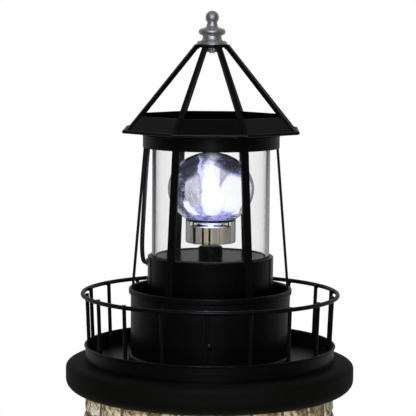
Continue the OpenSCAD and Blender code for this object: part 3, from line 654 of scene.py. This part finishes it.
def stone_tree(stone):
    """Running-bond courses of rough blocks, laid out flat and then wrapped round the tower."""
    g = Growth("stone_courses", Blocks=int, Courses=int, Height=float, Base_radius=float, Top_radius=float,
               Joint=float, Depth=float, Plinth=float, Chip=float, First_joint=float, Seed=int)
    blocks, courses, height = g.given("Blocks"), g.given("Courses"), g.given("Height")
    course_h = height / courses

    # One block, two units across, with its rows of points drawn in towards the edges
    block = g.add("GeometryNodeMeshCube", None, {
        "Size": (2.0, 2.0, 1.0), "Vertices X": 9, "Vertices Y": 6, "Vertices Z": 2})
    spot = g.add("GeometryNodeInputPosition")
    split = g.add("ShaderNodeSeparateXYZ", None, {0: spot})
    pull = 1.25
    drawn = [((split.output(axis) * pull).sin() / math.sin(pull)) for axis in ("X", "Y")]
    local = g.vector(drawn[0], drawn[1], split.output("Z") + 0.5)
    block = g.add("GeometryNodeStoreNamedAttribute", {"data_type": "FLOAT_VECTOR", "domain": "POINT"}, {
        "Geometry": block, "Name": "local", "Value": local})

    index = g.add("GeometryNodeInputIndex")
    row = (index / blocks + 1e-4).floor()
    column = index - row * blocks
    points = g.add("GeometryNodePoints", None, {"Count": blocks * courses})
    for name, value in (("row", row), ("column", column)):
        points = g.add("GeometryNodeStoreNamedAttribute", {"data_type": "FLOAT", "domain": "POINT"}, {
            "Geometry": points, "Name": name, "Value": value})
    for name, shift in (("tone", 0), ("girth", 1), ("stand", 2)):
        luck = g.add("FunctionNodeRandomValue", {"data_type": "FLOAT"}, {
            "ID": index, "Seed": g.given("Seed") + shift}, out=1)
        points = g.add("GeometryNodeStoreNamedAttribute", {"data_type": "FLOAT", "domain": "POINT"}, {
            "Geometry": points, "Name": name, "Value": luck})
    laid = g.add("GeometryNodeInstanceOnPoints", None, {"Points": points, "Instance": block})
    laid = g.add("GeometryNodeRealizeInstances", None, {0: laid})

    def stored(name, kind="FLOAT"):
        return g.add("GeometryNodeInputNamedAttribute", {"data_type": kind}, {"Name": name})

    row, column, girth, stand = (stored(name) for name in ("row", "column", "girth", "stand"))
    local = g.add("ShaderNodeSeparateXYZ", None, {0: stored("local", "FLOAT_VECTOR")})
    u, v, w = local.output("X"), local.output("Y"), local.output("Z")
    half_turn = math.pi / blocks
    z_mid = (row + 0.5) * course_h
    r_mid = g.given("Base radius") + (g.given("Top radius") - g.given("Base radius")) * z_mid / height
    half_w = half_turn * r_mid - g.given("Joint") * (0.5 + girth * 0.35)
    half_h = course_h * 0.5 - g.given("Joint") * (0.5 + stand * 0.25)
    turn = (column * 2 + row % 2) * half_turn + half_w * u / r_mid + g.given("First joint")
    z = z_mid + half_h * v
    face_r = (g.given("Base radius") + (g.given("Top radius") - g.given("Base radius")) * z / height
              + g.given("Plinth") * (1 - row.above(0.5)))

    # Rough outline and face: the same waves run through neighbouring stones, so joints wander together
    flat = g.vector(turn.cos() * face_r, turn.sin() * face_r, z)
    wander = g.add("ShaderNodeTexNoise", None, {"Vector": flat, "Scale": 34.0, "Detail": 2.0}, out="Color")
    wander = g.add("ShaderNodeSeparateXYZ", None, {0: wander})
    chip = g.given("Chip")
    turn = turn + (wander.output("X") - 0.5) * chip * 2.2 / face_r
    z = z + (wander.output("Y") - 0.5) * chip * 1.6
    rough = g.add("ShaderNodeTexNoise", None, {
        "Vector": flat, "Scale": 105.0, "Detail": 4.0, "Roughness": 0.62}) - 0.5
    rim_u, rim_v = (1 - u.abs()) * half_w, (1 - v.abs()) * half_h
    rounding = (1 - rim_u.fade(0.0, 3.2 * MM)).at_least(1 - rim_v.fade(0.0, 3.2 * MM))
    both = (1 - rim_u.fade(0.0, 4.5 * MM)) * (1 - rim_v.fade(0.0, 4.5 * MM))
    out = w * (rough * chip * 1.5 + (stand - 0.5) * chip * 0.5 - rounding * chip * 0.9 - both * chip * 0.8)
    top_limit = DISC_BOTTOM - 0.3 * MM
    r = face_r + out - (1 - w) * (g.given("Depth") + 1.2 * MM)
    z = z.at_most(top_limit).at_least(0.0)
    shaped = g.add("GeometryNodeSetPosition", None, {
        "Geometry": laid, "Position": g.vector(turn.cos() * r, turn.sin() * r, z)})
    edge = (1 - (rim_u.at_most(rim_v) / (5 * MM)).at_most(1)).at_least(1 - w)
    shaped = g.add("GeometryNodeStoreNamedAttribute", {"data_type": "FLOAT", "domain": "POINT"}, {
        "Geometry": shaped, "Name": "edge", "Value": edge})
    shaped = g.add("GeometryNodeSetShadeSmooth", None, {"Geometry": shaped})
    return g.end(shaped)


def face_radius(z):
    return TOWER_BASE_R + (TOWER_TOP_R - TOWER_BASE_R) * z / TOWER_H


class StoneSettings(bpy.types.PropertyGroup):
    blocks: bpy.props.IntProperty(
        name="Stones in a course", description="Stones round one course of the tower", default=23, min=12, max=40)
    courses: bpy.props.IntProperty(
        name="Courses", description="Courses of stone from the ground to the gallery", default=24, min=12, max=40)
    joint: bpy.props.FloatProperty(
        name="Joint", description="Width of a joint between two stones", default=1.9 * MM, unit="LENGTH",
        precision=4)
    depth: bpy.props.FloatProperty(
        name="Joint depth", description="How far the joints lie behind the stones' faces", default=1.8 * MM,
        unit="LENGTH", precision=4)
    chip: bpy.props.FloatProperty(
        name="Roughness", description="How far a stone's face strays from smooth", default=1.3 * MM, unit="LENGTH",
        precision=4)
    plinth: bpy.props.FloatProperty(
        name="Plinth", description="How far the lowest course stands out", default=5 * MM, unit="LENGTH",
        precision=4)
    first_joint: bpy.props.FloatProperty(
        name="First joint", description="Turn of the pattern of stones about the tower's axis",
        default=math.radians(-101.4), subtype="ANGLE")
    seed: bpy.props.IntProperty(name="Seed", description="Another seed gives other stones", default=7, min=0)


class LIGHTHOUSE_OT_stone_tower(bpy.types.Operator):
    """Build the cast-stone tower: a core the colour of the joints, and its courses of stones"""
    bl_idname = "lighthouse.stone_tower"
    bl_label = "Stone Tower"

    def execute(self, context):
        stone = context.scene.lighthouse_stone
        heights = [TOWER_H * i / 24 for i in range(25)]
        skin = [(face_radius(z) - stone.depth + (stone.plinth if i == 0 else 0), z) for i, z in enumerate(heights)]
        skin.insert(1, (face_radius(heights[1]) - stone.depth + stone.plinth, heights[1] - 0.5 * MM))
        inside = [(CROWN_HOLE_R, TOWER_H), (CROWN_HOLE_R, TOWER_H - TOWER_WALL),
                  (face_radius(TOWER_H - TOWER_WALL) - TOWER_WALL, TOWER_H - TOWER_WALL),
                  (face_radius(0) - TOWER_WALL, 0)]
        core = soft_edges(lathe("tower_core", skin + inside, 120), 30)
        new_piece("tower_core", core, "mortar", "lighthouse", "stone", "tower_shell")
        mesh = grown("tower_stones", stone_tree(stone), {
            "Blocks": stone.blocks, "Courses": stone.courses, "Height": TOWER_H, "Base radius": TOWER_BASE_R,
            "Top radius": TOWER_TOP_R, "Joint": stone.joint, "Depth": stone.depth, "Plinth": stone.plinth,
            "Chip": stone.chip, "First joint": stone.first_joint, "Seed": stone.seed, "Finish": FINISHES["stone"]})
        new_piece("tower_stones", mesh, "stone", "lighthouse", "stone", "tower_shell")
        return {"FINISHED"}


# ---------- finishes on the solids ----------

class MetalSettings(bpy.types.PropertyGroup):
    black: bpy.props.FloatVectorProperty(
        name="Black", description="Colour of the enamel", default=(0.0013, 0.0013, 0.0013), subtype="COLOR", min=0,
        max=1)
    satin_roughness: bpy.props.FloatProperty(
        name="Satin", description="Roughness of the satin enamel", default=0.40, min=0, max=1, subtype="FACTOR")
    gloss_roughness: bpy.props.FloatProperty(
        name="Gloss", description="Roughness of the lamp housing's gloss enamel", default=0.22, min=0, max=1,
        subtype="FACTOR")
    disc_roughness: bpy.props.FloatProperty(
        name="Disc", description="Roughness of the base disc's paint", default=0.58, min=0, max=1, subtype="FACTOR")
    peel_depth: bpy.props.FloatProperty(
        name="Orange peel", description="Depth of the waves in the enamel", default=0.03 * MM, unit="LENGTH",
        precision=5)
    weld: bpy.props.FloatProperty(
        name="Weld", description="Radius of a weld bead", default=1.3 * MM, unit="LENGTH", precision=4)


class LIGHTHOUSE_OT_finish_solids(bpy.types.Operator):
    """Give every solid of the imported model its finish"""
    bl_idname = "lighthouse.finish_solids"
    bl_label = "Finish Solids"

    def execute(self, context):
        FINISHES.update(make_finishes(context.scene.lighthouse_metal, context.scene.lighthouse_lamp))
        slots = {part["node"]: part["material_slot"] for part in frame["record"]["subparts"]}
        for name, obj in frame["nodes"].items():
            for slot in obj.material_slots:
                slot.material = FINISHES[slots[name]]
        for name in ("globe", "glass_cylinder", "lamp_sleeve", "panel_cover", "led_lamp"):
            frame["nodes"][name].visible_shadow = False
        return {"FINISHED"}


# ---------- small parts ----------

def screw_mesh(name, head_r, head_h, shank_r, length):
    """Pan-head screw with a cross recess, drawn along +X with the underside of its head at the origin."""
    dome = [(0, -length), (shank_r, -length), (shank_r, 0), (head_r, 0), (head_r, head_h * 0.35)]
    dome += [(head_r * math.cos(a), head_h * (0.35 + 0.65 * math.sin(a))) for a in
             (math.radians(d) for d in (22, 42, 60, 75))] + [(0, head_h)]
    head = collect(bpy.data.objects.new(name, lathe(name, dome, 32, closed=False)))
    cutter_mesh = bmesh.new()
    for turn in (0, math.pi / 2):
        made = bmesh.ops.create_cube(cutter_mesh, size=1.0)["verts"]
        bmesh.ops.scale(cutter_mesh, verts=made, vec=(head_r * 1.15, head_r * 0.24, head_h * 1.2))
        bmesh.ops.rotate(cutter_mesh, verts=made, cent=(0, 0, 0), matrix=Matrix.Rotation(turn, 3, "Z"))
        bmesh.ops.translate(cutter_mesh, verts=made, vec=(0, 0, head_h * 0.9))
    cutter = collect(bpy.data.objects.new(name + "_cross", from_bmesh(name + "_cross", cutter_mesh, smooth=False)))
    cut = head.modifiers.new("cross", "BOOLEAN")
    cut.operation, cut.object, cut.solver, cut.use_self = "DIFFERENCE", cutter, "EXACT", True
    mesh = evaluated(head)
    bpy.data.objects.remove(cutter)
    mesh.transform(Matrix.Rotation(math.pi / 2, 4, "Y"))
    return soft_edges(mesh, 35)


class LIGHTHOUSE_OT_screws(bpy.types.Operator):
    """Fit the three cross-recess screws low on the lamp well"""
    bl_idname = "lighthouse.screws"
    bl_label = "Well Screws"

    def execute(self, context):
        template = screw_mesh("well_screw", 3.1 * MM, 1.7 * MM, 1.55 * MM, 6 * MM)
        mesh = ring_of("cross_screws", template, "screw_black", 3, WELL_R + 0.02 * MM, PAN_FLOOR + 22 * MM, -90)
        new_piece("cross_screws", mesh, "screw_black", "lighthouse", "screw_black", "well_screws")
        return {"FINISHED"}


def bead_mesh(name, size, stretch=(1, 1, 1)):
    """A small rounded drop of weld metal."""
    bm = bmesh.new()
    bmesh.ops.create_icosphere(bm, subdivisions=2, radius=size)
    for vert in bm.verts:
        wave = 1 + 0.09 * math.sin(vert.co.x / size * 5 + 1) * math.cos(vert.co.z / size * 4)
        vert.co = Vector([c * s * wave for c, s in zip(vert.co, stretch)])
    return from_bmesh(name, bm)


class LIGHTHOUSE_OT_welds(bpy.types.Operator):
    """Add the weld beads at the balusters, the posts and the rafters"""
    bl_idname = "lighthouse.welds"
    bl_label = "Weld Beads"

    def execute(self, context):
        size = context.scene.lighthouse_metal.weld
        first = -90 + BALUSTER_TURN
        drop = bead_mesh("baluster_weld", size, (0.75, 1.35, 0.8))
        beads = [
            ring_of("rim_welds", drop, "black_metal", BALUSTERS, BALUSTER_FOOT_R + 1.3 * MM, PAN_RIM_Z + 0.7 * MM,
                    first),
            ring_of("floor_welds", drop.copy(), "black_metal", BALUSTERS, BALUSTER_FOOT_R - 0.45 * MM,
                    PAN_FLOOR + 0.3 * MM, first),
            ring_of("rail_welds", drop.copy(), "black_metal", BALUSTERS, BALUSTER_HEAD_R + 1.5 * MM,
                    RAIL_Z - 1.3 * MM, first)]
        foot = bead_mesh("post_weld", size, (0.6, 3.0, 0.7))
        beads.append(ring_of("well_post_welds", foot, "black_metal", 6, WELL_IN_R - 0.35 * MM, WELL_TOP - 0.9 * MM, -120))
        beads.append(ring_of("collar_post_welds", foot.copy(), "black_metal", 6, COLLAR_IN_R - 0.2 * MM,
                             COLLAR_BOTTOM + 0.5 * MM, -120))
        hip = bead_mesh("rafter_weld", size * 0.9, (1.0, 2.0, 0.55))
        beads.append(ring_of("rafter_foot_welds", hip, "black_metal", 8, HIP_FOOT_R - 5.4 * MM, BRIM_TOP + 0.3 * MM,
                             -90 + 22.5))
        beads.append(ring_of("rafter_head_welds", hip.copy(), "black_metal", 8, APEX_R + 0.5 * MM,
                             APEX_TOP - 3.4 * MM, -90 + 22.5))
        new_piece("weld_beads", joined("weld_beads", beads), "black_metal", "lighthouse", "black_metal")
        return {"FINISHED"}


def smooth_route(points, steps):
    """Points close together along a smooth curve through the given ones."""
    path = []
    last = len(points) - 1
    vectors = [Vector(p) for p in points]
    for i in range(last):
        before, a, b, after = vectors[max(i - 1, 0)], vectors[i], vectors[i + 1], vectors[min(i + 2, last)]
        for k in range(steps):
            t = k / steps
            path.append(0.5 * ((2 * a) + (b - before) * t + (2 * before - 5 * a + 4 * b - after) * t ** 2
                               + (3 * a - before - 3 * b + after) * t ** 3))
    path.append(vectors[-1])
    return path


def tube(name, path, radius, sides=20):
    """Round tube along a path, closed at both ends."""
    bm = bmesh.new()
    side = Vector((0, 1, 0))
    rings = []
    for i, point in enumerate(path):
        ahead = (path[min(i + 1, len(path) - 1)] - path[max(i - 1, 0)]).normalized()
        across = ahead.cross(side).normalized()
        side = across.cross(ahead).normalized()
        rings.append([bm.verts.new(point + radius * (math.cos(a) * side + math.sin(a) * across))
                      for a in (2 * math.pi * k / sides for k in range(sides))])
    for here, there in zip(rings, rings[1:]):
        for k in range(sides):
            j = (k + 1) % sides
            bm.faces.new((here[k], here[j], there[j], there[k]))
    bm.faces.new(rings[0])
    bm.faces.new(rings[-1][::-1])
    return soft_edges(from_bmesh(name, bm), 50)


class LIGHTHOUSE_OT_panel_lead(bpy.types.Operator):
    """Lay the panel's lead from the lantern's ceiling into the lamp housing"""
    bl_idname = "lighthouse.panel_lead"
    bl_label = "Panel Lead"

    def execute(self, context):
        path = smooth_route(CABLE_ROUTE, 4)
        lead = new_piece("panel_lead", tube("panel_lead", path, CABLE_R), "cable_black", "lighthouse",
                         "cable_black", "solar_cable")
        length = sum((b - a).length for a, b in zip(path, path[1:]))
        return {"FINISHED"}


# ---------- the lamp ----------

class LampSettings(bpy.types.PropertyGroup):
    colour: bpy.props.FloatVectorProperty(
        name="Light", description="Colour of the lamp's light", default=(0.62, 0.66, 1.0), subtype="COLOR", min=0,
        max=1)
    flame_strength: bpy.props.FloatProperty(
        name="Flame", description="How brightly the flame itself shines", default=14.0, min=0)
    # Strength of the painted light on the shell inside the globe
    painted_glow_strength: bpy.props.FloatProperty(
        name="Streaks", description="How brightly the globe's streaks shine", default=1.25, min=0)
    watts: bpy.props.FloatProperty(
        name="Power", description="Light that the lamp throws on what is round it, in watts", default=0.12, min=0,
        unit="POWER")


class LIGHTHOUSE_OT_lamp(bpy.types.Operator):
    """Light the lamp, and line the inside of its globe with a shell of painted light and painted shade"""
    bl_idname = "lighthouse.lamp"
    bl_label = "Lit Lamp"

    def execute(self, context):
        lamp = context.scene.lighthouse_lamp
        a, b =GLOBE_A - GLOBE_T - 0.35 * MM, GLOBE_B - GLOBE_T - 0.35 * MM
        wall = 0.12 * MM
        outer = [(a * math.cos(t), GLOBE_Z + b * math.sin(t)) for t in
                 (math.radians(-62 + i * 152 / 40) for i in range(41))]
        inner = [(max(0.0, r - wall * r / a), GLOBE_Z + (z - GLOBE_Z) * (1 - wall / b)) for r, z in outer]
        # A thin shell inside the globe carries the painted glare, halo, crescent, swirls and dark patches
        shell = lathe("globe_streaks", outer[:-1] + [(0, outer[-1][1]), (0, inner[-1][1])] + inner[:-1][::-1], 96)
        painted_streaks = new_piece("globe_streaks", shell, "painted_streaks", "beacon", "globe_clear")
        painted_streaks.visible_shadow = False
        light = bpy.data.lights.new("lamp_glow", "POINT")
        light.energy, light.color, light.shadow_soft_size = lamp.watts, tuple(lamp.colour), 5 * MM
        glow = collect(bpy.data.objects.new("lamp_glow", light))
        glow.location = (0, 0, GLOBE_Z + 4 * MM)
        return {"FINISHED"}


# ---------- the stage ----------

class StageSettings(bpy.types.PropertyGroup):
    floor: bpy.props.FloatVectorProperty(
        name="Floor", description="Colour of the floor", default=(0.86, 0.86, 0.86), subtype="COLOR", min=0, max=1)
    floor_radius: bpy.props.FloatProperty(
        name="Floor radius", description="Radius of the round floor", default=2.4, unit="LENGTH")
    back_glow: bpy.props.FloatProperty(
        name="Back", description="Brightness of the room behind the object, in reflections", default=0.30, min=0)
    front_glow: bpy.props.FloatProperty(
        name="Front", description="Brightness of the room in front of the object, in reflections", default=0.03,
        min=0)
    soft_glow: bpy.props.FloatProperty(
        name="Surround", description="Brightness of the room as it lights dull surfaces, such as stone", default=0.6,
        min=0)
    key_watts: bpy.props.FloatProperty(
        name="Key", description="Power of the large soft light", default=30, min=0, unit="POWER")
    fill_watts: bpy.props.FloatProperty(
        name="Fill", description="Power of the light from the other side", default=14, min=0, unit="POWER")
    low_watts: bpy.props.FloatProperty(
        name="Low fill", description="Power of the low light that reaches the stone under the gallery", default=19,
        min=0, unit="POWER")
    strip_watts: bpy.props.FloatProperty(
        name="High strip", description="Power of the wide cool light above the camera", default=20, min=0,
        unit="POWER")
    front_watts: bpy.props.FloatProperty(
        name="Low spot", description="Power of the small cool light by the camera", default=5.0, min=0,
        unit="POWER")


def area_light(name, place, aim, size, watts, colour=(1, 1, 1)):
    light = bpy.data.lights.new(name, "AREA")
    light.shape, light.size, light.size_y, light.energy, light.color = "RECTANGLE", size[0], size[1], watts, colour
    lamp = collect(bpy.data.objects.new(name, light))
    lamp.location = place
    lamp.rotation_euler = (Vector(aim) - Vector(place)).to_track_quat("-Z", "Y").to_euler()
    return lamp


def place_camera():
    """The photograph's viewpoint: just above the gallery's height, looking down six degrees."""
    yaw, pitch, roll, swing = (math.radians(d) for d in (-0.08, 6.05, 0.42, 0.8))
    ahead = Vector((math.sin(yaw) * math.cos(pitch), math.cos(yaw) * math.cos(pitch), -math.sin(pitch)))
    right = Vector((math.cos(yaw), -math.sin(yaw), 0))
    up = right.cross(ahead)
    across = math.cos(roll) * right + math.sin(roll) * up
    upright = math.cos(roll) * up - math.sin(roll) * right
    turn = Matrix.Rotation(swing, 3, "Z")
    camera = collect(bpy.data.objects.new("camera", bpy.data.cameras.new("camera")))
    camera.location = turn @ Vector((0, -1.8, 0.9282))
    camera.rotation_euler = (turn @ Matrix((across, upright, -ahead)).transposed()).to_euler()
    camera.data.sensor_width = 36
    camera.data.lens = 2017.3 / 416 * 36
    camera.data.clip_start = 0.05
    bpy.context.scene.camera = camera


def light_room(stage):
    """White behind the object and straight through its glass; dimmer in reflections, darkest in front."""
    world = bpy.data.worlds.new("studio")
    bpy.context.scene.world = world
    world.use_nodes = True
    g = Graph(world.node_tree)
    world.node_tree.nodes.clear()
    split = g.add("ShaderNodeSeparateXYZ", None, {0: g.add("ShaderNodeTexCoord", out="Generated")})
    behind = split.output("Y").fade(-0.35, 0.85)
    above = split.output("Z").fade(0.3, 1.0)
    glow = behind * (stage.back_glow - stage.front_glow) + stage.front_glow + above * 0.05
    path = g.add("ShaderNodeLightPath", out="Is Camera Ray")
    # A ray that leaves the lantern through its glass counts as transmitted, so its earlier bounces are asked for
    dulled = path.output("Diffuse Depth").at_most(1)
    bounced = (path.output("Glossy Depth") + dulled).at_most(1)
    seen = path.at_least(path.output("Is Transmission Ray") * (1 - bounced))
    soft = dulled * stage.soft_glow
    dim = g.add("ShaderNodeBackground", None, {"Color": (1, 1, 1, 1), "Strength": glow + soft})
    white = g.add("ShaderNodeBackground", None, {"Color": (1, 1, 1, 1), "Strength": 1.0})
    both = g.add("ShaderNodeMixShader", None, {0: seen, 1: dim, 2: white})
    g.add("ShaderNodeOutputWorld", None, {"Surface": both})


def floor_finish(colour):
    f = Finish("studio_floor")
    cloud = f.noise(3, 3)
    return f.feed(base_color=f.mix(cloud, tuple(c * 0.985 for c in colour), tuple(colour)), roughness=0.9,
                  specular_ior_level=0.1).material


class LIGHTHOUSE_OT_stage(bpy.types.Operator):
    """Set up the camera, the pale floor and the soft studio light"""
    bl_idname = "lighthouse.stage"
    bl_label = "Stage"

    def execute(self, context):
        stage = context.scene.lighthouse_stage
        scene = context.scene
        scene.view_settings.view_transform = "Standard"
        place_camera()
        light_room(stage)
        floor = collect(bpy.data.objects.new("floor", lathe("floor", [(0, -2 * MM), (stage.floor_radius, -2 * MM),
                                                                      (stage.floor_radius, 0), (0, 0)], 96)))
        floor.data.materials.append(floor_finish(tuple(stage.floor)))
        floor.visible_glossy = False
        middle = (0, 0, 0.68)
        # The soft boxes light the stone but don't mirror in the glass and the enamel
        for soft_box in (area_light("key", (-1.5, -2.0, 2.2), middle, (1.6, 1.6), stage.key_watts),
                         area_light("fill", (1.25, -2.2, 1.6), middle, (0.9, 1.4), stage.fill_watts),
                         area_light("low_fill", (0.1, -2.0, 0.3), (0, 0, 0.56), (1.6, 0.5), stage.low_watts)):
            soft_box.visible_glossy = soft_box.visible_transmission = False
        cool = (0.80, 0.84, 1.0)
        area_light("high_strip", (-0.03, -2.6, 1.9), middle, (1.4, 0.5), stage.strip_watts, cool)
        area_light("low_spot", (-0.03, -2.6, 1.02), middle, (0.25, 0.12), stage.front_watts, cool)
        return {"FINISHED"}


# ---------- the add-on ----------

STEPS = (LIGHTHOUSE_OT_stage, LIGHTHOUSE_OT_finish_solids, LIGHTHOUSE_OT_panel_lead, LIGHTHOUSE_OT_stone_tower,
         LIGHTHOUSE_OT_screws, LIGHTHOUSE_OT_welds, LIGHTHOUSE_OT_lamp)


class LIGHTHOUSE_PT_pieces(bpy.types.Panel):
    bl_idname = "LIGHTHOUSE_PT_pieces"
    bl_label = "Garden Lighthouse"
    bl_space_type = "VIEW_3D"
    bl_region_type = "UI"
    bl_category = "Lighthouse"

    def draw(self, context):
        for step in STEPS:
            self.layout.operator(step.bl_idname)
        for name in SETTINGS:
            group = getattr(context.scene, name)
            box = self.layout.box()
            for prop in group.bl_rna.properties:
                if prop.identifier not in ("rna_type", "name"):
                    box.prop(group, prop.identifier)


SETTINGS = {"lighthouse_stone": StoneSettings, "lighthouse_metal": MetalSettings, "lighthouse_lamp": LampSettings,
            "lighthouse_stage": StageSettings}
CLASSES = (*SETTINGS.values(), *STEPS, LIGHTHOUSE_PT_pieces)


def register():
    for cls in CLASSES:
        bpy.utils.register_class(cls)
    for name, group in SETTINGS.items():
        setattr(bpy.types.Scene, name, bpy.props.PointerProperty(type=group))


def unregister():
    for name in SETTINGS:
        delattr(bpy.types.Scene, name)
    for cls in reversed(CLASSES):
        bpy.utils.unregister_class(cls)


def main():
    register()
    for step in STEPS:
        area, name = step.bl_idname.split(".")
        getattr(getattr(bpy.ops, area), name)()


if __name__ == "__main__":
    main()
